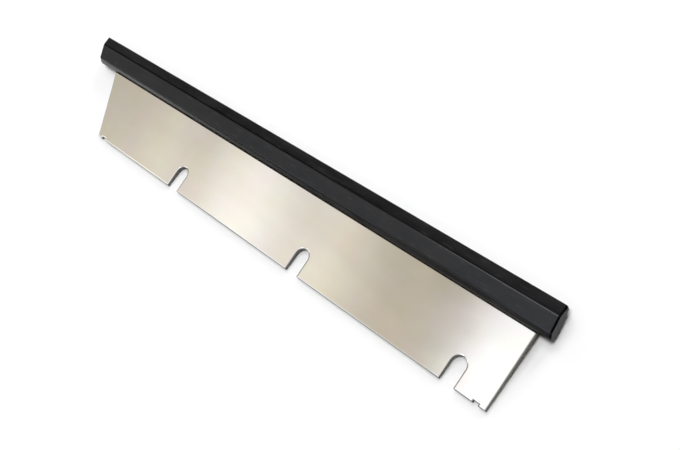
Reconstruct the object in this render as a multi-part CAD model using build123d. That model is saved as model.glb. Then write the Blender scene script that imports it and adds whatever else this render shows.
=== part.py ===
from build123d import *
import os
from math import asin, atan2, cos, degrees, hypot, radians, sin, tan

# Press wash-up blade: a flat steel carrier strip with a moulded rubber wiper bonded along one long edge.
# It lies on a level floor, tipped a little, because the wiper is thicker than the strip.
# Part frame: +X along the blade, +Y from the slotted edge to the wiper, +Z up, Z = 0 on the floor,
# X = Y = 0 in the middle of the whole blade's box. All sizes are in millimetres and degrees.
# Each piece is drawn in the strip's own frame first: X = 0 at the middle slot, Y = 0 on the slotted
# edge, Z = 0 at the middle of the strip's thickness.

# Carrier strip
strip_thickness = 2.0
strip_bare_height = 42.0
strip_seat_depth = 9.0

# Open slots for the clamp screws
slot_count = 3
slot_pitch = 115.0
slot_width = 9.5
slot_depth = 15.0
slot_to_left_end = 88.0
slot_to_right_end = 24.5

# Notches by the ends of the slotted edge
notch_width = 3.6
notch_depth = 1.2
notch_from_end = 4.4

# Ends: the left one leans outwards towards the wiper, on the strip and the wiper alike,
# the strip's right one is square and the wiper's right one leans back a little
left_end_lean = 29.0
right_end_lean = 7.0

# Wiper section, mirrored about the strip
wiper_thickness = 8.0
wiper_lip = 0.4
wiper_shoulder_height = 3.2
wiper_flank_height = 9.0
wiper_bevel_height = 6.2
wiper_nose_thickness = 2.4
wiper_left_overhang = 19.5
wiper_right_overhang = 8.0

# Soft moulded corners of the wiper section
nose_radius = 1.0
bevel_radius = 1.5
shoulder_radius = 0.6

# Where things fall from these sizes, in the strip's own frame
slot_row_length = slot_pitch * (slot_count - 1)
first_slot_x = -slot_row_length / 2
strip_left_x = first_slot_x - slot_to_left_end
strip_right_x = first_slot_x + slot_row_length + slot_to_right_end
wiper_shoulder_y = strip_bare_height + wiper_shoulder_height
wiper_bevel_y = wiper_shoulder_y + wiper_flank_height
wiper_nose_y = wiper_bevel_y + wiper_bevel_height
left_lean_run = tan(radians(left_end_lean))
right_lean_run = tan(radians(right_end_lean))


def left_end_x(y):
    """X of the strip's leaning left end at the height y."""
    return strip_left_x - y * left_lean_run


def wiper_right_x(y):
    """X of the wiper's leaning right end at the height y."""
    return strip_right_x + wiper_right_overhang - (y - strip_bare_height) * right_lean_run


def slab(outline, thickness):
    """A plate of the given outline, half of its thickness each side of Z = 0."""
    return extrude(outline, amount=thickness / 2, both=True)


def carrier_outline():
    """The bare strip's outline: square right end, leaning left end, seat edge inside the wiper."""
    top = strip_bare_height + strip_seat_depth
    corners = [
        (strip_left_x, 0),
        (strip_right_x, 0),
        (strip_right_x, top),
        (left_end_x(top), top),
    ]
    return make_face(Polyline(*corners, close=True))


def slot_outline():
    """One slot, open at the strip's slotted edge and round at its other end."""
    radius = slot_width / 2
    mouth = Pos(0, (slot_depth - radius) / 2) * Rectangle(slot_width, slot_depth - radius)
    return mouth + Pos(0, slot_depth - radius) * Circle(radius)


def notch_outline():
    """One notch, open at the strip's slotted edge."""
    return Pos(0, notch_depth / 2) * Rectangle(notch_width, notch_depth)


def make_carrier():
    outline = carrier_outline()
    for index in range(slot_count):
        outline -= Pos(first_slot_x + index * slot_pitch, 0) * slot_outline()
    notch_offset = notch_from_end + notch_width / 2
    for notch_x in (strip_left_x + notch_offset, strip_right_x - notch_offset):
        outline -= Pos(notch_x, 0) * notch_outline()
    return slab(outline, strip_thickness)


def wiper_section():
    """Section across the wiper, drawn with the strip's Y across and its Z up."""
    mouth = strip_thickness / 2 + wiper_lip
    half = wiper_thickness / 2
    nose = wiper_nose_thickness / 2
    upper = [
        (strip_bare_height, mouth),
        (wiper_shoulder_y, half),
        (wiper_bevel_y, half),
        (wiper_nose_y, nose),
    ]
    lower = [(y, -z) for y, z in reversed(upper)]
    section = make_face(Polyline(*upper, *lower, close=True))
    radii = {
        wiper_shoulder_y: shoulder_radius,
        wiper_bevel_y: bevel_radius,
        wiper_nose_y: nose_radius,
    }
    for corner_y, radius in radii.items():
        corners = [v for v in section.vertices() if abs(v.X - corner_y) < radius / 10]
        section = fillet(corners, radius)
    return section


def wiper_side():
    """The wiper seen square to the strip: its two leaning ends, taller than the section."""
    low = 0
    high = wiper_nose_y + wiper_thickness
    corners = [
        (left_end_x(low) - wiper_left_overhang, low),
        (wiper_right_x(low), low),
        (wiper_right_x(high), high),
        (left_end_x(high) - wiper_left_overhang, high),
    ]
    return make_face(Polyline(*corners, close=True))


def make_wiper(carrier):
    """The moulded profile, cut to its ends, with the seat that the strip fills."""
    longest = strip_right_x - left_end_x(wiper_nose_y)
    across = Plane(origin=(0, 0, 0), x_dir=(0, 1, 0), z_dir=(1, 0, 0))
    profile = extrude(across * wiper_section(), amount=2 * longest, both=True)
    moulding = profile & slab(wiper_side(), 2 * wiper_thickness)
    return moulding - carrier


def resting_tilt():
    """Angle by which the blade tips: the floor touches the slotted edge and the lower shoulder's arc."""
    corner_turn = atan2(wiper_thickness / 2 - strip_thickness / 2 - wiper_lip, wiper_shoulder_height)
    arc_y = wiper_shoulder_y + shoulder_radius * tan(corner_turn / 2)
    arc_drop = wiper_thickness / 2 - shoulder_radius - strip_thickness / 2
    to_arc = hypot(arc_y, arc_drop)
    return degrees(atan2(arc_drop, arc_y) + asin(shoulder_radius / to_arc))


def lay_down(pieces):
    """Tip the blade as it rests, stand it on the floor and centre its box."""
    tipped = [Rot(X=resting_tilt()) * piece for piece in pieces]
    box = tipped[0].bounding_box()
    for piece in tipped[1:]:
        box = box.add(piece.bounding_box())
    shift = Pos(-box.center().X, -box.center().Y, -box.min.Z)
    return [shift * piece for piece in tipped], shift


def main():
    carrier = make_carrier()
    wiper = make_wiper(carrier)
    (carrier, wiper), shift = lay_down([carrier, wiper])
    os.makedirs("parts", exist_ok=True)
    for node, piece in {"carrier": carrier, "wiper": wiper}.items():
        piece.label = node
        export_step(piece, f"parts/{node}.step")
        size = piece.bounding_box().size
        print(f"{node}: {piece.volume:.1f} mm3, {size.X:.2f} x {size.Y:.2f} x {size.Z:.2f} mm")
    tilt = radians(resting_tilt())
    print(f"resting tilt {degrees(tilt):.3f} degrees")
    print(f"slot axis (0, {-sin(tilt):.6f}, {cos(tilt):.6f})")
    for index in range(slot_count):
        centre = Vector(first_slot_x + index * slot_pitch, slot_depth - slot_width / 2, 0)
        place = shift * Rot(X=resting_tilt()) * Pos(centre)
        x, y, z = place.position
        print(f"slot {index + 1} round end centre {x:.3f} {y:.3f} {z:.3f}")


main()
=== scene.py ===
# %% [markdown]
# # Press wash-up blade
# A wash-up blade is the squeegee of a printing press. While the rollers are being washed, its rubber
# lip presses on one of them and scrapes the dirty wash-up into a tray. The blade has two pieces: a
# slotted strip of stainless steel, which is screwed to the tray, and a moulded rubber wiper along one
# of its long edges.
#
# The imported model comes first. It is the frame for all that follows: metres, X along the blade, Y from
# the slotted edge to the rubber, Z up from the floor.

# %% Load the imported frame
from math import atan2, asin, cos, degrees, hypot, pi, radians, sin, tan

import bmesh
import bpy
from mathutils import Matrix, Vector


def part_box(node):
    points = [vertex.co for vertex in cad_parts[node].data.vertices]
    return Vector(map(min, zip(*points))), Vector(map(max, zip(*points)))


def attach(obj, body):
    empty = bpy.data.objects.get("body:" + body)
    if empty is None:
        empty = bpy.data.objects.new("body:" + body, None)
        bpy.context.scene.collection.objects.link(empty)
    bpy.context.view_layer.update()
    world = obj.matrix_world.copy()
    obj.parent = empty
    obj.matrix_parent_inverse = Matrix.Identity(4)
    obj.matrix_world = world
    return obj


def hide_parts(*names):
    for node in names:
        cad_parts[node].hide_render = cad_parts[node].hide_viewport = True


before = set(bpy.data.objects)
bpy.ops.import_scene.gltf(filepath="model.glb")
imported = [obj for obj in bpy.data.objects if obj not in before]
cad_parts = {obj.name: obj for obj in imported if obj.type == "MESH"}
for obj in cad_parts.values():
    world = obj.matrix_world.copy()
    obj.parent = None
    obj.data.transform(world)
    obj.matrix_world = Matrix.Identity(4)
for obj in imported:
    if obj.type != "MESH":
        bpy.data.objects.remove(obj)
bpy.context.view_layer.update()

MM = 0.001  # a millimetre in metres
print("nodes:", sorted(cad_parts))

# %% [markdown]
# The camera comes before any piece, because it decides how much of each surface will be seen. Its
# place and turn were worked out from straight edges of the blade. The angle of view follows from the
# picture's width, 680 pixels, and a focal length of 1000 such pixels, which on a 36 mm sensor is a
# lens of about 53 mm. It looks steeply down, from over the square end.

# %% Camera
picture_width_px = 680
focal_length_px = 1000
sensor_width_mm = 36
nearest_seen_mm = 10
camera_place_mm = (396.93, -40.11, 418.80)
camera_turn_deg = (28.678, 27.681, 41.816)

camera = bpy.data.objects.new("studio_camera", bpy.data.cameras.new("studio_camera"))
bpy.context.scene.collection.objects.link(camera)
camera.data.sensor_width = sensor_width_mm
camera.data.lens = focal_length_px / picture_width_px * sensor_width_mm
camera.data.clip_start = nearest_seen_mm * MM
camera.location = Vector(camera_place_mm) * MM
camera.rotation_euler = [radians(angle) for angle in camera_turn_deg]
bpy.context.scene.camera = camera
print("lens in mm:", round(camera.data.lens, 2))

# %% [markdown]
# The sizes are those of the solids, in millimetres and degrees, each written once. They are given in
# the strip's own frame, which is flat: X = 0 at the middle slot, Y = 0 on the slotted edge, Z = 0 at
# the middle of the sheet. The bevel's corner is rounder here than in the solids, because it is worn.
#
# The last eight sizes are for the eye alone: how wide and how deep the steel is bent over and then torn
# along its cut edges, the worn shoulder, the crisp upper corner of the nose, the rim around the
# rubber's ends and along its mouth, and how far the mouth's corner is set back for the bonding cement.

# %% Sizes of the strip and the wiper
strip_thickness = 2.0
strip_bare_height = 42.0
strip_seat_depth = 9.0
slot_count = 3
slot_pitch = 115.0
slot_width = 9.5
slot_depth = 15.0
slot_to_left_end = 88.0
slot_to_right_end = 24.5
notch_width = 3.6
notch_depth = 1.2
notch_from_end = 4.4
left_end_lean = 29.0
right_end_lean = 7.0
wiper_thickness = 8.0
wiper_lip = 0.4
wiper_shoulder_height = 3.2
wiper_flank_height = 9.0
wiper_bevel_height = 6.2
wiper_nose_thickness = 2.4
wiper_left_overhang = 19.5
wiper_right_overhang = 8.0
nose_radius = 1.0
bevel_radius = 4.0
shoulder_radius = 0.6
burnished_width = 0.45
burnished_drop = 0.11
torn_width = 0.28
torn_drop = 0.1
shoulder_round = 1.9
crisp_nose_radius = 0.4
rubber_rim = 0.85
mouth_set_back = 0.45

first_slot_x = -slot_pitch * (slot_count - 1) / 2
strip_left_x = first_slot_x - slot_to_left_end
strip_right_x = slot_to_right_end - first_slot_x
strip_height = strip_bare_height + strip_seat_depth
wiper_shoulder_y = strip_bare_height + wiper_shoulder_height
wiper_bevel_y = wiper_shoulder_y + wiper_flank_height
wiper_nose_y = wiper_bevel_y + wiper_bevel_height
left_lean_run = tan(radians(left_end_lean))
right_lean_run = tan(radians(right_end_lean))
print("strip from x", strip_left_x, "to", strip_right_x, "- wiper's nose at y", wiper_nose_y)

# %% [markdown]
# The blade doesn't lie flat. The rubber is thicker than the steel, so the blade rests on its slotted
# edge and on the rubber's lower shoulder, tipped by almost four degrees. Each piece is made flat, and
# its mesh is then tipped and moved, so that its object stays at the origin, unturned.

# %% How the blade lies
corner_turn = atan2(wiper_thickness / 2 - strip_thickness / 2 - wiper_lip, wiper_shoulder_height)
arc_y = wiper_shoulder_y + shoulder_radius * tan(corner_turn / 2)
arc_drop = wiper_thickness / 2 - shoulder_radius - strip_thickness / 2
resting_tilt = atan2(arc_drop, arc_y) + asin(shoulder_radius / hypot(arc_y, arc_drop))
half_sheet = strip_thickness / 2 * MM
carrier_low, carrier_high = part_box("carrier")
strip_origin = Vector((
    carrier_high.x - strip_right_x * MM,
    carrier_low.y + half_sheet * sin(resting_tilt),
    half_sheet * cos(resting_tilt),
))
lying = Matrix.Translation(strip_origin) @ Matrix.Rotation(resting_tilt, 4, "X")
print("tilt in degrees:", round(degrees(resting_tilt), 3))
print("strip's origin in mm:", [round(v / MM, 3) for v in strip_origin])

# %% [markdown]
# A few small helpers serve the whole file. Colours are written as sRGB hex, as a colour picker shows
# them, and Blender's sockets want linear light. Nodes are added with their settings and links in one
# call. A Geometry Nodes tree gets a named input for each size, and its result is turned into a plain
# mesh, because the part is exported as meshes.

# %% Helpers for colours and nodes
def linear(hex_colour):
    """An sRGB hex colour as the linear colour that a socket takes."""
    values = [int(hex_colour[place:place + 2], 16) / 255 for place in (1, 3, 5)]
    return [v / 12.92 if v <= 0.04045 else ((v + 0.055) / 1.055) ** 2.4 for v in values] + [1.0]


def add_node(tree, kind, settings=None, **links):
    """Add a node. Settings are its own choices. A link is named after an input's name, with _ for a
    space, or i and its number, and is a value, another node's output, or a list of outputs."""
    node = tree.nodes.new(kind)
    for name, value in (settings or {}).items():
        setattr(node, name, value)
    for name, given in links.items():
        numbered = name[0] == "i" and name[1:].isdigit()
        socket = node.inputs[int(name[1:]) if numbered else name.replace("_", " ")]
        several = isinstance(given, list) and isinstance(given[0], bpy.types.NodeSocket)
        for value in given if several else [given]:
            if isinstance(value, bpy.types.NodeSocket):
                tree.links.new(value, socket)
            else:
                socket.default_value = value
    return node


def per_metre(*sizes):
    """How often each size in millimetres fits into a metre, which is how a pattern is scaled."""
    return tuple(1 / (size * MM) for size in sizes)


def new_material(name):
    """A material with an empty node tree."""
    material = bpy.data.materials.new(name)
    material.use_nodes = True
    material.node_tree.nodes.clear()
    return material, material.node_tree


print("linear mid grey:", round(linear("#808080")[0], 4))

# %% Helpers for Geometry Nodes and meshes
def new_geometry_tree(name, sizes):
    """A Geometry Nodes tree with a geometry in and out and a named input for each size."""
    tree = bpy.data.node_groups.new(name, "GeometryNodeTree")
    tree.interface.new_socket("Geometry", in_out="INPUT", socket_type="NodeSocketGeometry")
    for label, value in sizes.items():
        kind = "NodeSocketInt" if isinstance(value, int) else "NodeSocketFloat"
        tree.interface.new_socket(label, in_out="INPUT", socket_type=kind)
    tree.interface.new_socket("Geometry", in_out="OUTPUT", socket_type="NodeSocketGeometry")
    return tree, tree.nodes.new("NodeGroupInput").outputs


def give_tree(piece, tree, sizes):
    """Put the tree on the piece and set each named input by its socket's identifier."""
    modifier = piece.modifiers.new(tree.name, "NODES")
    modifier.node_group = tree
    for item in tree.interface.items_tree:
        if item.in_out == "INPUT" and item.name in sizes:
            modifier[item.identifier] = sizes[item.name]


def new_piece(name, mesh):
    """A new object with this mesh, at the origin."""
    piece = bpy.data.objects.new(name, mesh)
    bpy.context.scene.collection.objects.link(piece)
    return piece


def make_plain(piece):
    """Swap the piece's mesh for the one that its modifiers give, and take the modifiers off."""
    bpy.context.view_layer.update()
    graph = bpy.context.evaluated_depsgraph_get()
    mesh = bpy.data.meshes.new_from_object(piece.evaluated_get(graph), depsgraph=graph)
    piece.modifiers.clear()
    piece.data = mesh
    mesh.name = piece.name
    return mesh


print("meshes so far:", len(bpy.data.meshes))

# %% [markdown]
# ## The steel finish
# The strip is cold-rolled stainless spring steel. Its last pass between polished rolls leaves it
# bright, with very fine lines along the strip, and grinding oil, hands and washing leave it slightly
# uneven. So it is nearly a mirror, but a soft one: it shows the studio as broad bands of light. The
# colour is a warm grey.
#
# The cut edges are another surface. Shears and punches tear the last third of the sheet, and the torn
# part is dull and finely ribbed across its thickness. Its dark colour is partly the torn metal's own and
# partly painted shade, which draws a thin dark line around every cut edge. The mesh carries that as an
# attribute, `sheared_edge`, which is 1 on the edges and 0 on the two faces. It lowers the metallic value
# too, so that the edges stay dark, as painted shade, instead of mirroring the bright surround. The bend
# between the two is burnished by the tool, which leaves it without the face's warm tint. It is marked
# with one half.

# %% Patterns on the steel
roll_line_length = 30.0
roll_line_width = 0.9  # real ones are nearer 0.05 mm, too fine to show at this distance
cloud_size = 24.0
wave_length = 60.0
wave_width = 18.0
rib_width = 1.1  # real ones are nearer 0.3 mm
rib_length = 25.0  # much more than the sheet's thickness, so that a rib runs straight through it

steel, tree = new_material("bright_rolled_stainless_steel")
# Object coordinates are in metres. They are tipped back into the strip's own plane, and from there
# each pattern gets its own scale: so many millimetres along the strip and across it.
place = add_node(tree, "ShaderNodeTexCoord").outputs["Object"]
flat = add_node(tree, "ShaderNodeMapping", Vector=place, Rotation=(-resting_tilt, 0, 0)).outputs[0]
lines_place = add_node(tree, "ShaderNodeMapping", Vector=flat,
                       Scale=(*per_metre(roll_line_length, roll_line_width), 1)).outputs[0]
roll_lines = add_node(tree, "ShaderNodeTexNoise", {"noise_dimensions": "2D"}, Vector=lines_place,
                      Scale=1.0, Detail=3.0, Roughness=0.6).outputs["Fac"]
clouds = add_node(tree, "ShaderNodeTexNoise", {"noise_dimensions": "2D"}, Vector=flat,
                  Scale=per_metre(cloud_size)[0], Detail=3.0, Roughness=0.55)
waves_place = add_node(tree, "ShaderNodeMapping", Vector=flat,
                       Scale=(*per_metre(wave_length, wave_width), 1)).outputs[0]
waves = add_node(tree, "ShaderNodeTexNoise", {"noise_dimensions": "2D"}, Vector=waves_place,
                 Scale=1.0, Detail=1.0, Roughness=0.5).outputs["Fac"]
ribs_place = add_node(tree, "ShaderNodeMapping", Vector=flat,
                      Scale=per_metre(rib_width, rib_width, rib_length)).outputs[0]
ribs = add_node(tree, "ShaderNodeTexNoise", Vector=ribs_place, Scale=1.0, Detail=2.0).outputs["Fac"]
print("steel patterns:", len(tree.nodes), "nodes")

# %% Bright rolled stainless steel
face_steel = linear("#dcd2bf")
roll_line_steel = linear("#ded4c2")
burnished_steel = linear("#d9d5cb")
# The torn edges' two colours are partly the dull torn metal's own and partly painted shade, which draws
# the thin dark line around every cut edge.
torn_steel_and_painted_shade = linear("#676662")
torn_rib_steel_and_painted_shade = linear("#83817c")
cloud_strength = 0.1
bend_mark = 0.5
face_roughness_range = {"To_Min": 0.06, "To_Max": 0.12}
torn_roughness_range = {"To_Min": 0.45, "To_Max": 0.7}
# A low metallic value keeps the edges dark and dull whatever they face, as part of that painted shade.
edge_metallic_for_painted_shade = 0.35
wave_relief = 0.1
fine_relief = 0.02
fine_relief_strength = 0.05
blend_colours = {"data_type": "RGBA"}
overlay_colours = {"data_type": "RGBA", "blend_type": "OVERLAY"}

edge_mark = add_node(tree, "ShaderNodeAttribute", {"attribute_name": "sheared_edge"}).outputs["Fac"]
bend = add_node(tree, "ShaderNodeMapRange", Value=edge_mark, From_Max=bend_mark).outputs[0]
edge = add_node(tree, "ShaderNodeMapRange", Value=edge_mark, From_Min=bend_mark).outputs[0]
lined = add_node(tree, "ShaderNodeMix", blend_colours, i0=roll_lines, i6=face_steel,
                 i7=roll_line_steel).outputs[2]
face_colour = add_node(tree, "ShaderNodeMix", overlay_colours, i0=cloud_strength, i6=lined,
                       i7=clouds.outputs["Color"]).outputs[2]
bent_colour = add_node(tree, "ShaderNodeMix", blend_colours, i0=bend, i6=face_colour,
                       i7=burnished_steel).outputs[2]
edge_colour = add_node(tree, "ShaderNodeMix", blend_colours, i0=ribs, i6=torn_steel_and_painted_shade,
                       i7=torn_rib_steel_and_painted_shade).outputs[2]
colour = add_node(tree, "ShaderNodeMix", blend_colours, i0=edge, i6=bent_colour,
                  i7=edge_colour).outputs[2]
face_roughness = add_node(tree, "ShaderNodeMapRange", Value=clouds.outputs["Fac"],
                          **face_roughness_range).outputs[0]
edge_roughness = add_node(tree, "ShaderNodeMapRange", Value=ribs, **torn_roughness_range).outputs[0]
roughness = add_node(tree, "ShaderNodeMix", i0=edge, i2=face_roughness, i3=edge_roughness).outputs[0]
metallic = add_node(tree, "ShaderNodeMapRange", Value=edge, To_Min=1.0,
                    To_Max=edge_metallic_for_painted_shade).outputs[0]
height = add_node(tree, "ShaderNodeMix", i0=edge, i2=roll_lines, i3=ribs).outputs[0]
waviness = add_node(tree, "ShaderNodeBump", Height=waves, Strength=1.0,
                    Distance=wave_relief * MM).outputs[0]
relief = add_node(tree, "ShaderNodeBump", Height=height, Strength=fine_relief_strength,
                  Distance=fine_relief * MM, Normal=waviness).outputs[0]
shader = add_node(tree, "ShaderNodeBsdfPrincipled", Base_Color=colour, Metallic=metallic,
                  Roughness=roughness, Normal=relief)
add_node(tree, "ShaderNodeOutputMaterial", Surface=shader.outputs[0])
print("steel finish:", len(tree.nodes), "nodes")

# %% [markdown]
# ## The rubber finish
# The wiper is black nitrile rubber, moulded on to the steel. Carbon black makes it absorb almost all
# light, so what the eye sees is its weak, soft gloss: a face is as light as the part of the studio
# that it faces. The mould leaves a fine grain, and wax that creeps to the surface gives it a faint,
# uneven bloom. Hands and cloths scuff it, and they rub the bloom off the ridges and rims, which are
# blacker and glossier. The mesh carries that as an attribute, `rubbed_ridge`.

# %% Patterns on the rubber
bloom_length = 26.0
bloom_width = 6.0
bloom_range = {"From_Min": 0.3, "From_Max": 0.7}
scuff_length = 9.0
scuff_width = 1.5
scuff_range = {"From_Min": 0.58, "From_Max": 0.75}  # the noise's peaks only, so that scuffs are few
scuff_offset = (3.7, 1.3, 0.4)  # any other place in the noise, so that scuffs don't follow the bloom
grain_size = 0.8  # a real spark-eroded mould leaves about 0.2 mm

rubber, tree = new_material("black_moulded_rubber")
place = add_node(tree, "ShaderNodeTexCoord").outputs["Object"]
flat = add_node(tree, "ShaderNodeMapping", Vector=place, Rotation=(-resting_tilt, 0, 0)).outputs[0]
bloom_place = add_node(tree, "ShaderNodeMapping", Vector=flat,
                       Scale=per_metre(bloom_length, bloom_width, bloom_width)).outputs[0]
bloom = add_node(tree, "ShaderNodeTexNoise", Vector=bloom_place, Scale=1.0, Detail=3.0,
                 Roughness=0.55).outputs["Fac"]
bloom = add_node(tree, "ShaderNodeMapRange", Value=bloom, **bloom_range).outputs[0]
scuff_place = add_node(tree, "ShaderNodeMapping", Vector=flat, Location=scuff_offset,
                       Scale=per_metre(scuff_length, scuff_width, scuff_width)).outputs[0]
scuffs = add_node(tree, "ShaderNodeTexNoise", Vector=scuff_place, Scale=1.0, Detail=2.0,
                  Roughness=0.5).outputs["Fac"]
scuffs = add_node(tree, "ShaderNodeMapRange", Value=scuffs, **scuff_range).outputs[0]
grain = add_node(tree, "ShaderNodeTexNoise", Vector=flat, Scale=per_metre(grain_size)[0], Detail=2.0,
                 Roughness=0.5).outputs["Fac"]
print("rubber patterns:", len(tree.nodes), "nodes")

# %% Black moulded rubber
clean_rubber = linear("#040404")
bloomed_rubber = linear("#151413")
scuffed_rubber = linear("#262523")
rubbed_rubber = linear("#030303")
bloom_roughness_range = {"To_Min": 0.28, "To_Max": 0.4}
rubbed_roughness = 0.1
grain_relief = 0.03
grain_relief_strength = 0.25
nitrile_ior = 1.52
trapped_gloss = 0.3  # the dusty, finely pitted skin traps some of the gloss of solid rubber

ridge = add_node(tree, "ShaderNodeAttribute", {"attribute_name": "rubbed_ridge"}).outputs["Fac"]
bloom_colour = add_node(tree, "ShaderNodeMix", blend_colours, i0=bloom, i6=clean_rubber,
                        i7=bloomed_rubber).outputs[2]
scuffed_colour = add_node(tree, "ShaderNodeMix", blend_colours, i0=scuffs, i6=bloom_colour,
                          i7=scuffed_rubber).outputs[2]
colour = add_node(tree, "ShaderNodeMix", blend_colours, i0=ridge, i6=scuffed_colour,
                  i7=rubbed_rubber).outputs[2]
bloom_roughness = add_node(tree, "ShaderNodeMapRange", Value=bloom, **bloom_roughness_range).outputs[0]
roughness = add_node(tree, "ShaderNodeMix", i0=ridge, i2=bloom_roughness,
                     i3=rubbed_roughness).outputs[0]
relief = add_node(tree, "ShaderNodeBump", Height=grain, Strength=grain_relief_strength,
                  Distance=grain_relief * MM).outputs[0]
shader = add_node(tree, "ShaderNodeBsdfPrincipled", Base_Color=colour, IOR=nitrile_ior,
                  Specular_IOR_Level=trapped_gloss, Roughness=roughness, Normal=relief)
add_node(tree, "ShaderNodeOutputMaterial", Surface=shader.outputs[0])
print("rubber finish:", len(tree.nodes), "nodes")

# %% [markdown]
# ## The slotted strip
# The real strip is sheared from sheet and punched: three open slots at an even pitch, and a small
# notch near each end. That is a rule, so Geometry Nodes suits it. The tree makes a blank, leans its
# left end, sets one slot punch at each place of the pitch and one notch punch by each end, and takes
# them all out of the blank at once.

# %% The blank
strip_sizes = {
    "Length": (strip_right_x - strip_left_x) * MM,
    "Middle X": (strip_right_x + strip_left_x) / 2 * MM,
    "Height": strip_height * MM,
    "Thickness": strip_thickness * MM,
    "Left Lean": left_lean_run,
    "Slot Count": slot_count,
    "Slot Pitch": slot_pitch * MM,
    "First Slot X": first_slot_x * MM,
    "Slot Radius": slot_width / 2 * MM,
    "Slot Depth": slot_depth * MM,
    "Notch Width": notch_width * MM,
    "Notch Depth": notch_depth * MM,
    "First Notch X": (strip_left_x + notch_from_end + notch_width / 2) * MM,
    "Notch Span": (strip_right_x - strip_left_x - 2 * notch_from_end - notch_width) * MM,
}
tree, size = new_geometry_tree("slotted_strip", strip_sizes)

blank_size = add_node(tree, "ShaderNodeCombineXYZ", X=size["Length"], Y=size["Height"],
                      Z=size["Thickness"]).outputs[0]
half_height = add_node(tree, "ShaderNodeMath", {"operation": "MULTIPLY"}, i0=size["Height"],
                       i1=0.5).outputs[0]
blank_place = add_node(tree, "ShaderNodeCombineXYZ", X=size["Middle X"], Y=half_height).outputs[0]
blank = add_node(tree, "GeometryNodeMeshCube", Size=blank_size).outputs["Mesh"]
blank = add_node(tree, "GeometryNodeTransform", Geometry=blank, Translation=blank_place).outputs[0]

# The corners left of the middle move outwards, the higher the further.
spot = add_node(tree, "ShaderNodeSeparateXYZ",
                Vector=add_node(tree, "GeometryNodeInputPosition").outputs[0]).outputs
at_left = add_node(tree, "ShaderNodeMath", {"operation": "LESS_THAN"}, i0=spot["X"],
                   i1=size["Middle X"]).outputs[0]
outwards = add_node(tree, "ShaderNodeMath", {"operation": "MULTIPLY"}, i0=spot["Y"],
                    i1=size["Left Lean"]).outputs[0]
outwards = add_node(tree, "ShaderNodeMath", {"operation": "MULTIPLY"}, i0=outwards,
                    i1=-1.0).outputs[0]
blank = add_node(tree, "GeometryNodeSetPosition", Geometry=blank, Selection=at_left,
                 Offset=add_node(tree, "ShaderNodeCombineXYZ", X=outwards).outputs[0]).outputs[0]
print("tree for the blank:", len(tree.nodes), "nodes")

# %% [markdown]
# A punch for a slot is a cylinder whose lower half is pulled out past the edge, which gives its round
# end and straight sides in one closed shape. A punch for a notch is a small block, half of it outside
# the sheet. Both go right through the sheet and stand out on either side.

# %% Punches for the slots
arc_points = 96
punch_in_sheets = 3.0  # how many thicknesses of the sheet a punch is long
below_middle = 0.01  # a hair, so that the two points on the cylinder's middle line stay

punch_depth = add_node(tree, "ShaderNodeMath", {"operation": "MULTIPLY"}, i0=size["Thickness"],
                       i1=punch_in_sheets).outputs[0]
slot_punch = add_node(tree, "GeometryNodeMeshCylinder", Vertices=arc_points,
                      Radius=size["Slot Radius"], Depth=punch_depth).outputs["Mesh"]
lower_half = add_node(tree, "ShaderNodeMath", {"operation": "LESS_THAN"}, i0=spot["Y"],
                      i1=-below_middle * MM).outputs[0]
downwards = add_node(tree, "ShaderNodeMath", {"operation": "MULTIPLY"}, i0=size["Slot Depth"],
                     i1=-1.0).outputs[0]
pulled_out = add_node(tree, "ShaderNodeCombineXYZ", Y=downwards).outputs[0]
slot_punch = add_node(tree, "GeometryNodeSetPosition", Geometry=slot_punch, Selection=lower_half,
                      Offset=pulled_out).outputs[0]
arc_centre_y = add_node(tree, "ShaderNodeMath", {"operation": "SUBTRACT"}, i0=size["Slot Depth"],
                        i1=size["Slot Radius"]).outputs[0]
first_slot = add_node(tree, "ShaderNodeCombineXYZ", X=size["First Slot X"],
                      Y=arc_centre_y).outputs[0]
slot_step = add_node(tree, "ShaderNodeCombineXYZ", X=size["Slot Pitch"]).outputs[0]
slot_row = add_node(tree, "GeometryNodeMeshLine", Count=size["Slot Count"],
                    Start_Location=first_slot, Offset=slot_step).outputs[0]
slot_punches = add_node(tree, "GeometryNodeInstanceOnPoints", Points=slot_row,
                        Instance=slot_punch).outputs[0]
print("with punches for the slots:", len(tree.nodes), "nodes")

# %% Punches for the notches, and the cut
notch_count = 2
notch_punch_in_depths = 2.0  # how many depths of the notch its punch is high

notch_reach = add_node(tree, "ShaderNodeMath", {"operation": "MULTIPLY"}, i0=size["Notch Depth"],
                       i1=notch_punch_in_depths).outputs[0]
notch_size = add_node(tree, "ShaderNodeCombineXYZ", X=size["Notch Width"], Y=notch_reach,
                      Z=punch_depth).outputs[0]
notch_punch = add_node(tree, "GeometryNodeMeshCube", Size=notch_size).outputs["Mesh"]
first_notch = add_node(tree, "ShaderNodeCombineXYZ", X=size["First Notch X"]).outputs[0]
notch_step = add_node(tree, "ShaderNodeCombineXYZ", X=size["Notch Span"]).outputs[0]
notch_row = add_node(tree, "GeometryNodeMeshLine", Count=notch_count, Start_Location=first_notch,
                     Offset=notch_step).outputs[0]
notch_punches = add_node(tree, "GeometryNodeInstanceOnPoints", Points=notch_row,
                         Instance=notch_punch).outputs[0]

punches = add_node(tree, "GeometryNodeJoinGeometry",
                   Geometry=[slot_punches, notch_punches]).outputs[0]
punches = add_node(tree, "GeometryNodeRealizeInstances", Geometry=punches).outputs[0]
punched = add_node(tree, "GeometryNodeMeshBoolean", {"operation": "DIFFERENCE", "solver": "EXACT"},
                   i0=blank, i1=punches).outputs[0]
punched = add_node(tree, "GeometryNodeRealizeInstances", Geometry=punched).outputs[0]
punched = add_node(tree, "GeometryNodeSetMaterial", Geometry=punched, Material=steel).outputs[0]
add_node(tree, "NodeGroupOutput", Geometry=punched)
print("tree", tree.name, "has", len(tree.nodes), "nodes")
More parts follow.
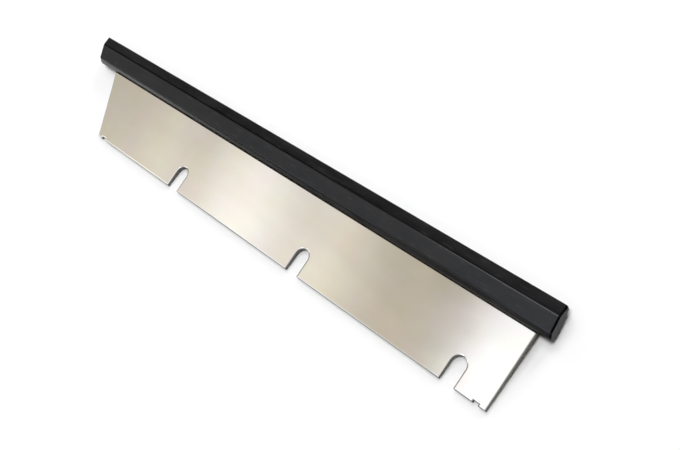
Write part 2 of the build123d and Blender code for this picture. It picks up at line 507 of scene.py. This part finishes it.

# %% [markdown]
# The tree's result is kept twice. One copy stays sharp, because it cuts the seat in the rubber, where
# the steel fills it exactly. The other gets its worn edges. A punch or shear first bends the sheet over
# by a few tenths of a millimetre and then cuts it. The bend is burnished and shows as a glint, and the
# torn lip beside it shows as a thin dark line around the strip, drawn with the edge colour's painted
# shade. Here each face is inset twice, and its outer borders are pressed down, each by its own step. A
# Bevel modifier would make the bend as deep as it is wide, and that isn't how sheared sheet looks.

# %% The strip's mesh and its worn edges
strip = new_piece("slotted_strip", bpy.data.meshes.new("slotted_strip"))
give_tree(strip, tree, strip_sizes)
strip_mesh = make_plain(strip)
sharp_strip = strip_mesh.copy()

level = 0.999  # the upright part of a flat face's normal is at least this
work = bmesh.new()
work.from_mesh(strip_mesh)
for face in [face for face in work.faces if abs(face.normal.z) > level]:
    down = -1 if face.normal.z > 0 else 1
    for width, drop in ((torn_width, burnished_drop + torn_drop), (burnished_width, burnished_drop)):
        ring = bmesh.ops.inset_region(work, faces=[face], thickness=width * MM, use_even_offset=True)
        # The face itself moves inwards, so the ring's other corners are its outer border.
        border = {corner for part in ring["faces"] for corner in part.verts} - set(face.verts)
        for corner in border:
            corner.co.z += down * drop * MM
        print("inset", width, "mm: border of", len(border), "corners, lowered by", round(drop, 3))
work.normal_update()
work.to_mesh(strip_mesh)
work.free()

# %% Which faces of the strip are bent or torn
steepest_bend_deg = 17  # the burnished bend slopes less than this, and the torn lip more
gentle_slope = cos(radians(steepest_bend_deg))
# Faces marked 1 here get the dark edge colour, which is partly painted shade.
sheared = strip_mesh.attributes.new("sheared_edge", "FLOAT", "FACE")
for face in strip_mesh.polygons:
    upright = abs(face.normal.z)
    mark = 1.0
    if upright > level:
        mark = 0.0
    elif upright > gentle_slope:
        mark = bend_mark
    sheared.data[face.index].value = mark
strip_mesh.transform(lying)
print("strip:", len(strip_mesh.polygons), "faces,", [round(v / MM, 2) for v in strip.dimensions])

# %% [markdown]
# ## The moulded wiper
# The wiper is one section drawn along a line, with its two ends cut at a slant, so this piece follows
# a rule as well. The corners of its upper half are typed in once, each with its own radius, and the
# lower half mirrors them. Only the nose's upper corner is crisper than the lower one, as an edge that
# wipes is.

# %% The section and its corners
mouth_z = strip_thickness / 2 + wiper_lip
mouth_slope = (wiper_thickness / 2 - mouth_z) / wiper_shoulder_height
upper_corners = [
    (strip_bare_height + mouth_set_back, mouth_z + mouth_set_back * mouth_slope, 0.0),
    (wiper_shoulder_y, wiper_thickness / 2, shoulder_round),
    (wiper_bevel_y, wiper_thickness / 2, bevel_radius),
    (wiper_nose_y, wiper_nose_thickness / 2, crisp_nose_radius),
]
lower_corners = [(y, -z, radius) for y, z, radius in reversed(upper_corners)]
lower_corners[0] = lower_corners[0][:2] + (nose_radius,)
section_corners = (lower_corners + upper_corners)[::-1]
count = len(section_corners)
section_mesh = bpy.data.meshes.new("wiper_section")
section_mesh.from_pydata(
    [(y * MM, z * MM, 0) for y, z, radius in section_corners],
    [(index, (index + 1) % count) for index in range(count)],
    [],
)
corner_radius = section_mesh.attributes.new("corner_radius", "FLOAT", "POINT")
corner_radius.data.foreach_set("value", [radius * MM for y, z, radius in section_corners])
print("section corners:", count)

# %% [markdown]
# The tree rounds the corners, fills the outline, draws it out and moves every point along X so that
# the ends lean. The section is drawn in X and Y and pulled out along Z. Its X becomes Y, its Y becomes
# Z, and its Z becomes the way from one leaning end to the other.

# %% The moulding as a tree
wiper_sizes = {
    "Length": (strip_right_x - strip_left_x) * MM,
    "Left X": (strip_left_x - wiper_left_overhang) * MM,
    "Left Lean": -left_lean_run,
    "Right X": (strip_right_x + wiper_right_overhang + strip_bare_height * right_lean_run) * MM,
    "Right Lean": -right_lean_run,
}
corner_points = 6
touching = 0.001  # points nearer to each other than this are one

tree, size = new_geometry_tree("moulded_wiper", wiper_sizes)
outline = add_node(tree, "GeometryNodeMeshToCurve", Mesh=size["Geometry"]).outputs[0]
radius = add_node(tree, "GeometryNodeInputNamedAttribute", {"data_type": "FLOAT"},
                  Name="corner_radius").outputs["Attribute"]
outline = add_node(tree, "GeometryNodeFilletCurve", {"mode": "POLY"}, Curve=outline,
                   Count=corner_points, Radius=radius).outputs[0]
section = add_node(tree, "GeometryNodeFillCurve", {"mode": "NGONS"}, Curve=outline).outputs[0]
drawn_out = add_node(tree, "GeometryNodeExtrudeMesh", {"mode": "FACES"}, Mesh=section,
                     Offset=(0, 0, 1), Offset_Scale=size["Length"], Individual=False).outputs[0]
other_end = add_node(tree, "GeometryNodeFlipFaces", Mesh=section).outputs[0]
moulding = add_node(tree, "GeometryNodeJoinGeometry", Geometry=[drawn_out, other_end]).outputs[0]
moulding = add_node(tree, "GeometryNodeMergeByDistance", Geometry=moulding,
                    Distance=touching * MM).outputs[0]

spot = add_node(tree, "ShaderNodeSeparateXYZ",
                Vector=add_node(tree, "GeometryNodeInputPosition").outputs[0]).outputs
left = add_node(tree, "ShaderNodeMath", {"operation": "MULTIPLY_ADD"}, i0=spot["X"],
                i1=size["Left Lean"], i2=size["Left X"]).outputs[0]
right = add_node(tree, "ShaderNodeMath", {"operation": "MULTIPLY_ADD"}, i0=spot["X"],
                 i1=size["Right Lean"], i2=size["Right X"]).outputs[0]
along = add_node(tree, "ShaderNodeMapRange", Value=spot["Z"], From_Min=0.0, From_Max=size["Length"],
                 To_Min=left, To_Max=right).outputs[0]
new_spot = add_node(tree, "ShaderNodeCombineXYZ", X=along, Y=spot["X"], Z=spot["Y"]).outputs[0]
moulding = add_node(tree, "GeometryNodeSetPosition", Geometry=moulding,
                    Position=new_spot).outputs[0]
moulding = add_node(tree, "GeometryNodeRealizeInstances", Geometry=moulding).outputs[0]
moulding = add_node(tree, "GeometryNodeSetMaterial", Geometry=moulding, Material=rubber).outputs[0]
add_node(tree, "NodeGroupOutput", Geometry=moulding)
print("tree", tree.name, "has", len(tree.nodes), "nodes")

# %% [markdown]
# The ends and the mouth get the soft rim that the mould gives them. Then the sharp copy of the strip
# cuts the seat, so the rubber closes on the steel with no gap and no overlap.

# %% The wiper's mesh, its rims and its seat
rim_corner_deg = 50  # only the corners around the ends and along the mouth turn by more than this
wiper = new_piece("moulded_wiper", section_mesh)
give_tree(wiper, tree, wiper_sizes)
rim = wiper.modifiers.new("rim", "BEVEL")
rim.width = rubber_rim * MM
rim.segments = 1
rim.limit_method = "ANGLE"
rim.angle_limit = radians(rim_corner_deg)
rim.use_clamp_overlap = False
make_plain(wiper)

seat_cutter = new_piece("seat_cutter", sharp_strip)
seat = wiper.modifiers.new("seat", "BOOLEAN")
seat.operation = "DIFFERENCE"
seat.solver = "EXACT"
seat.object = seat_cutter
wiper_mesh = make_plain(wiper)
bpy.data.objects.remove(seat_cutter)
print("wiper with its seat:", len(wiper_mesh.polygons), "faces")

# %% [markdown]
# What isn't one of the section's flat sides or an end is a ridge or a rim, and gets the mark of rubbed
# rubber. Weighted normals then keep the broad flanks flat to the eye beside their narrow rounded
# corners, and the strip's faces flat beside their bends.

# %% Rubbed ridges, and smooth shading
flat_within_deg = 3
smooth_up_to_deg = 12
largest_faces_only = 100

flats = []
for (y0, z0, _), (y1, z1, _) in zip(section_corners, section_corners[1:] + section_corners[:1]):
    flats.append(Vector((0, z1 - z0, y0 - y1)).normalized())
nearly_square = cos(radians(flat_within_deg))
end_facing = cos(radians(left_end_lean + flat_within_deg))
rubbed = wiper_mesh.attributes.new("rubbed_ridge", "FLOAT", "FACE")
for face in wiper_mesh.polygons:
    on_flat = any(abs(face.normal.dot(flat)) > nearly_square for flat in flats)
    on_end = abs(face.normal.x) > end_facing
    rubbed.data[face.index].value = 0.0 if on_flat or on_end else 1.0
wiper_mesh.transform(lying)

for piece in (strip, wiper):
    piece.data.shade_smooth()
    piece.data.set_sharp_from_angle(angle=radians(smooth_up_to_deg))
    even = piece.modifiers.new("even_normals", "WEIGHTED_NORMAL")
    even.weight = largest_faces_only
    even.keep_sharp = True
    make_plain(piece)
print("wiper:", len(wiper.data.polygons), "faces,", [round(v / MM, 2) for v in wiper.dimensions])

# %% [markdown]
# ## The dark line at the mouth
# Where the rubber's mouth meets the steel, a narrow dull black bead lies above and below, shaped like
# dried cement. It is painted shade: it draws the thin black line that the crevice between the two shows.
# It follows the mouth from one end of the strip to the other, so it is a small section drawn along that
# line.

# %% Beads of painted shade along the mouth
bead_width = 0.45
bead_height = 0.45
bead_knee = (0.55, 0.7)  # where its front bends down, in parts of its width and height
bead_y = strip_bare_height + mouth_set_back
shade_line_roughness = 0.85
shade_line_gloss = 0.1

shade_line_black, tree = new_material("dull_black_painted_shade_line")
# Its dull black is painted shade: it draws the dark crevice line where the rubber meets the steel.
shader = add_node(tree, "ShaderNodeBsdfPrincipled", Base_Color=linear("#1d1d1b"),
                  Roughness=shade_line_roughness, Specular_IOR_Level=shade_line_gloss)
add_node(tree, "ShaderNodeOutputMaterial", Surface=shader.outputs[0])
bead_corners = []
bead_faces = []
for side in (1, -1):
    sheet = side * strip_thickness / 2
    section = [(bead_y, sheet), (bead_y, sheet + side * bead_height),
               (bead_y - bead_width * bead_knee[0], sheet + side * bead_height * bead_knee[1]),
               (bead_y - bead_width, sheet)]
    start = len(bead_corners)
    for y, z in section:
        bead_corners += [(strip_left_x - y * left_lean_run, y, z), (strip_right_x, y, z)]
    left_end = list(range(start, len(bead_corners), 2))
    right_end = list(range(start + 1, len(bead_corners), 2))
    # The lower bead mirrors the upper one, so the corners of its faces are named backwards. Faces
    # whose corners run the wrong way round would look inwards.
    for a, b in zip(left_end, left_end[1:] + left_end[:1]):
        bead_faces.append([b, b + 1, a + 1, a][::side])
    bead_faces.append(left_end[::-side])
    bead_faces.append(right_end[::side])
bead_mesh = bpy.data.meshes.new("painted_shade_line")
bead_mesh.from_pydata([Vector(corner) * MM for corner in bead_corners], [], bead_faces)
bead_mesh.transform(lying)
bead_mesh.materials.append(shade_line_black)
bead = new_piece("painted_shade_line", bead_mesh)
print("bead:", len(bead_mesh.polygons), "faces")

# %% [markdown]
# Each piece rides on the model's one body and stands for the CAD node of the same shape.

# %% Tie the pieces to the frame
for piece, node, finish in ((strip, "carrier", "stainless_strip"), (wiper, "wiper", "black_rubber")):
    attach(piece, "root")
    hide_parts(node)
    print(piece.name, "stands for", node)
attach(bead, "root")

# %% [markdown]
# ## Floor and studio light
# The floor is a white sheet, evenly lit by five soft lights: a broad one overhead, a key light up on
# the left that gives the shadows their direction, two low ones that draw the long faint shadow, and a
# weak fill. A sun lamp with a wide angle is a softbox so far away that it lights the whole floor alike.

# %% White floor
floor_reach = 6.0
floor_white = linear("#f2f2f2")
floor_roughness = 0.9

floor_mesh = bpy.data.meshes.new("studio_floor")
floor_signs = ((-1, -1), (1, -1), (1, 1), (-1, 1))
floor_mesh.from_pydata([(x * floor_reach, y * floor_reach, 0) for x, y in floor_signs],
                       [], [(0, 1, 2, 3)])
floor = new_piece("studio_floor", floor_mesh)
white, tree = new_material("white_floor_sheet")
shader = add_node(tree, "ShaderNodeBsdfPrincipled", Base_Color=floor_white,
                  Roughness=floor_roughness, Specular_IOR_Level=0.0)
add_node(tree, "ShaderNodeOutputMaterial", Surface=shader.outputs[0])
floor_mesh.materials.append(white)
print("floor", 2 * floor_reach, "m wide")

# %% The soft lights
# Each light has an angle round from +X, an angle up, and a strength. They light the matt floor, and
# the gloss doesn't show them, so that the steel's bands come from the surround alone.
soft_lights = {
    "top_light": (90, 88, 1.88),
    "key_light": (135, 50, 0.86),
    "low_light_behind": (95, 14, 1.7),
    "low_light_left": (160, 14, 1.03),
    "fill_light": (230, 30, 0.47),
}
soft_light_spread = 28

for name, (azimuth, elevation, strength) in soft_lights.items():
    light = bpy.data.lights.new(name, "SUN")
    light.angle = radians(soft_light_spread)
    light.energy = strength
    lamp = bpy.data.objects.new(name, light)
    bpy.context.scene.collection.objects.link(lamp)
    across = cos(radians(elevation))
    direction = Vector((cos(radians(azimuth)) * across, sin(radians(azimuth)) * across,
                        sin(radians(elevation))))
    lamp.location = direction
    lamp.rotation_euler = direction.to_track_quat("Z", "Y").to_euler()
    lamp.visible_camera = False
    lamp.visible_glossy = False

# %% [markdown]
# ## The surround
# Steel and rubber gloss show what stands around them, so the surround matters as much as the lights.
# It is built of pale panels, which the steel shows as soft bands along its length, with dark gaps where
# the rubber's slopes look, which keeps them black.
#
# For every ray that leaves the scene, the world is asked for light. `Generated` gives the ray's
# direction as an arrow of length 1, so a region of the surround is a range of its X, Y and Z. Each fade
# below is a soft step in one of the three, and a window is a product of fades.

# %% Fades across the surround
strip_dimming = 0.85
pale_card = 0.85
smooth = {"interpolation_type": "SMOOTHSTEP"}
# Each fade has a part of the direction, the places where it begins and ends, and its values there.
fades = {
    # Beyond the left end the surround is dark low down, behind the blade and in front of it.
    "left": ("X", -0.38, -0.15, 1.0, 0.0),
    "behind": ("Y", 0.08, 0.3, 0.0, 1.0),
    "low behind": ("Z", 0.66, 0.8, 1.0, 0.0),
    "in front": ("Y", -0.68, -0.48, 1.0, 0.0),
    "low in front": ("Z", 0.26, 0.44, 1.0, 0.0),
    # The low bright strip is for the rubber's front slope, so it is dimmed further back.
    "further back": ("Y", -0.42, -0.3, 0.0, strip_dimming),
    "lowest": ("Z", 0.2, 0.3, 1.0, 0.0),
    # A narrow lamp high up behind draws the thin line of light on the rubber's long ridge.
    "lamp's front": ("Y", 0.15, 0.18, 0.0, 1.0),
    "lamp's back": ("Y", 0.23, 0.27, 1.0, 0.0),
    "lamp's foot": ("Z", 0.78, 0.83, 0.0, 1.0),
    "lamp's right end": ("X", -0.3, -0.2, 1.0, 0.0),
    # The bend of the slotted edge looks up in front, and its left end also far to the left.
    "well up": ("Z", 0.42, 0.5, 0.0, 1.0),
    "far left": ("X", -0.77, -0.72, pale_card, 0.0),
}

world = bpy.data.worlds.new("studio_surround")
world.use_nodes = True
bpy.context.scene.world = world
tree = world.node_tree
tree.nodes.clear()
heading = add_node(tree, "ShaderNodeTexCoord").outputs["Generated"]
way = add_node(tree, "ShaderNodeSeparateXYZ", Vector=heading).outputs
window = {}
for name, (axis, begins, ends, first, last) in fades.items():
    fade = add_node(tree, "ShaderNodeMapRange", smooth, Value=way[axis], From_Min=begins,
                    From_Max=ends, To_Min=first, To_Max=last)
    window[name] = fade.outputs[0]
print("fades:", len(window))

# %% Windows made of the fades
# Each window is worked out from two that are there already. The darker of two gaps counts.
steps = (
    ("dark behind", "MULTIPLY", "behind", "low behind"),
    ("dark in front", "MULTIPLY", "in front", "low in front"),
    ("dark gaps", "MAXIMUM", "dark behind", "dark in front"),
    ("dimmed strip", "MULTIPLY", "further back", "lowest"),
    ("dark gaps", "MAXIMUM", "dark gaps", "dimmed strip"),
    ("dark gaps", "MULTIPLY", "dark gaps", "left"),
    ("ridge lamp", "MULTIPLY", "lamp's front", "lamp's back"),
    ("ridge lamp", "MULTIPLY", "ridge lamp", "lamp's foot"),
    ("ridge lamp", "MULTIPLY", "ridge lamp", "lamp's right end"),
)
for name, operation, first, second in steps:
    made = add_node(tree, "ShaderNodeMath", {"operation": operation}, i0=window[first],
                    i1=window[second])
    window[name] = made.outputs[0]
print("windows:", sorted({step[0] for step in steps}))

# %% Where the bend of the slotted edge looks
# The burnished bend mirrors one narrow line of the surround, high in front. It runs aslant, where
# X times bend_line_slope, plus Y, plus bend_line_start comes to 0.
bend_line_slope = 0.445
bend_line_start = 0.692
bend_line_core = 0.03
bend_line_edge = 0.06

aside = add_node(tree, "ShaderNodeMath", {"operation": "MULTIPLY_ADD"}, i0=way["X"],
                 i1=bend_line_slope, i2=way["Y"]).outputs[0]
aside = add_node(tree, "ShaderNodeMath", {"operation": "ADD"}, i0=aside, i1=bend_line_start).outputs[0]
aside = add_node(tree, "ShaderNodeMath", {"operation": "ABSOLUTE"}, i0=aside).outputs[0]
in_line = add_node(tree, "ShaderNodeMapRange", smooth, Value=aside, From_Min=bend_line_core,
                   From_Max=bend_line_edge, To_Min=1.0, To_Max=0.0).outputs[0]
bend_looks = add_node(tree, "ShaderNodeMath", {"operation": "MULTIPLY"}, i0=in_line,
                      i1=window["well up"]).outputs[0]
print("surround so far:", len(tree.nodes), "nodes")

# %% [markdown]
# The bands run from the horizon beyond the left end (0 degrees), over the top, to the horizon beyond
# the square end (180 degrees). A colour ramp holds them, and the ray's angle picks the place on it.
# Where the slotted edge's bend looks, the bands hang a few degrees lower, so that the bend shows the
# same band as the face beside it.

# %% The bands of light
# Each stop is an angle, a brightness and how cool the light is.
surround_stops = [
    # a bright strip low beyond the left end, and a dark gap above it
    (0, 6.5, 0.0), (6, 6.5, 0.0), (9, 2.5, 0.0), (13, 0.2, 0.0), (31, 0.2, 0.0),
    # two dim warm panels, which the left third of the steel shows
    (35.5, 0.7, 0.0), (38.5, 0.72, 0.0), (40.8, 0.97, 0.2), (42.6, 0.75, 0.1),
    # the bright panel of the middle third and its dimmer neighbour
    (44.5, 1.15, 0.5), (46.5, 1.33, 0.7), (48.5, 1.0, 0.5), (50.3, 0.92, 0.3), (51.8, 1.06, 0.2),
    # a dull gap, then the brightest panel, which the square end shows
    (54, 0.72, 0.0), (56.5, 0.62, -0.2), (59, 0.63, -0.2), (60.3, 0.73, 0.6),
    (62, 1.38, 1.1), (66, 1.5, 1.1),
    # weaker panels overhead and beyond the square end
    (73, 1.0, 0.3), (82, 0.85, 0.0), (91, 1.0, 0.2), (101, 0.75, 0.0), (112, 0.9, 0.2),
    (125, 0.55, 0.0), (140, 0.75, 0.2), (155, 0.5, 0.0), (166, 0.85, 0.0), (180, 0.5, 0.0),
]
half_turn_deg = 180
brightest = 6.5
cool_light = linear("#e4ecff")
bands_hang_deg = 5

backwards = add_node(tree, "ShaderNodeMath", {"operation": "MULTIPLY"}, i0=way["X"],
                     i1=-1.0).outputs[0]
angle = add_node(tree, "ShaderNodeMath", {"operation": "ARCTAN2"}, i0=way["Z"],
                 i1=backwards).outputs[0]
angle = add_node(tree, "ShaderNodeMath", {"operation": "MULTIPLY_ADD"}, i0=bend_looks,
                 i1=radians(bands_hang_deg), i2=angle).outputs[0]
turn = add_node(tree, "ShaderNodeMath", {"operation": "DIVIDE"}, i0=angle, i1=pi).outputs[0]
bands = add_node(tree, "ShaderNodeValToRGB", Fac=turn)
ramp = bands.color_ramp
# A new stop is put halfway, and then each stop gets its own place.
while len(ramp.elements) < len(surround_stops):
    ramp.elements.new(0.5)
for element, (degrees_up, strength, coolness) in zip(ramp.elements, surround_stops):
    element.position = degrees_up / half_turn_deg
    tint = [(channel / cool_light[0]) ** coolness for channel in cool_light[:3]]
    element.color = [strength / brightest * channel for channel in tint] + [1.0]
print("bands:", len(ramp.elements), "stops")

# %% Black cards for the rubber's end
# Three black cards stand where the rims around the rubber's square end look. A card is full up to one
# angle from its direction and fades out at the other.
rims_look = ((0.88, 0.2, 0.43), (0.81, -0.58, 0.03), (0.71, 0.68, 0.18))
card_core_deg = 9
card_edge_deg = 17

darkness = window["dark gaps"]
for direction in rims_look:
    facing = add_node(tree, "ShaderNodeVectorMath", {"operation": "DOT_PRODUCT"}, i0=heading,
                      i1=direction).outputs["Value"]
    card = add_node(tree, "ShaderNodeMapRange", smooth, Value=facing,
                    From_Min=cos(radians(card_edge_deg)),
                    From_Max=cos(radians(card_core_deg))).outputs[0]
    darkness = add_node(tree, "ShaderNodeMath", {"operation": "MAXIMUM"}, i0=darkness,
                        i1=card).outputs[0]
print("black cards:", len(rims_look))

# %% How bright the bands are
# They are a little brighter towards the front, which is what the slotted edge mirrors, and brighter
# again on the line where its bend looks.
gap_brightness = 0.12
front_brightness = 1.14
back_brightness = 0.9
front_ends = -0.08
back_begins = 0.02
bend_brightness = 1.25

lighting = add_node(tree, "ShaderNodeMapRange", Value=darkness, To_Min=brightest,
                    To_Max=gap_brightness * brightest).outputs[0]
frontward = add_node(tree, "ShaderNodeMapRange", Value=way["Y"], From_Min=front_ends,
                     From_Max=back_begins, To_Min=front_brightness,
                     To_Max=back_brightness).outputs[0]
lighting = add_node(tree, "ShaderNodeMath", {"operation": "MULTIPLY"}, i0=lighting,
                    i1=frontward).outputs[0]
glint = add_node(tree, "ShaderNodeMapRange", Value=bend_looks, To_Min=1.0,
                 To_Max=bend_brightness).outputs[0]
lighting = add_node(tree, "ShaderNodeMath", {"operation": "MULTIPLY"}, i0=lighting,
                    i1=glint).outputs[0]
surround = add_node(tree, "ShaderNodeBackground", Color=bands.outputs[0],
                    Strength=lighting).outputs[0]
print("surround so far:", len(tree.nodes), "nodes")

# %% [markdown]
# A lamp and a card are added to the bands: the narrow lamp for the rubber's ridge, and a small pale
# card for the glint along the left end of the slotted edge. The camera itself sees none of this, but a
# plain white backdrop, and the surround lights matt surfaces only faintly, because the soft lights do
# that.

# %% Lamps and backdrop
ridge_lamp_brightness = 6.0
backdrop_brightness = 1.0
faint_brightness = 0.08
white_light = (1, 1, 1, 1)

lamp = add_node(tree, "ShaderNodeMath", {"operation": "MULTIPLY"}, i0=window["ridge lamp"],
                i1=ridge_lamp_brightness).outputs[0]
lamp = add_node(tree, "ShaderNodeMath", {"operation": "MULTIPLY_ADD"}, i0=bend_looks,
                i1=window["far left"], i2=lamp).outputs[0]
lamp = add_node(tree, "ShaderNodeBackground", Color=white_light, Strength=lamp).outputs[0]
surround = add_node(tree, "ShaderNodeAddShader", i0=surround, i1=lamp).outputs[0]
backdrop = add_node(tree, "ShaderNodeBackground", Color=white_light,
                    Strength=backdrop_brightness).outputs[0]
faint = add_node(tree, "ShaderNodeBackground", Color=white_light,
                 Strength=faint_brightness).outputs[0]
ray = add_node(tree, "ShaderNodeLightPath").outputs
mixed = add_node(tree, "ShaderNodeMixShader", i0=ray["Is Diffuse Ray"], i1=surround,
                 i2=faint).outputs[0]
mixed = add_node(tree, "ShaderNodeMixShader", i0=ray["Is Camera Ray"], i1=mixed,
                 i2=backdrop).outputs[0]
add_node(tree, "ShaderNodeOutputWorld", Surface=mixed)

bpy.context.scene.view_settings.view_transform = "Standard"
bpy.context.scene.view_settings.look = "None"
print("surround:", len(tree.nodes), "nodes")
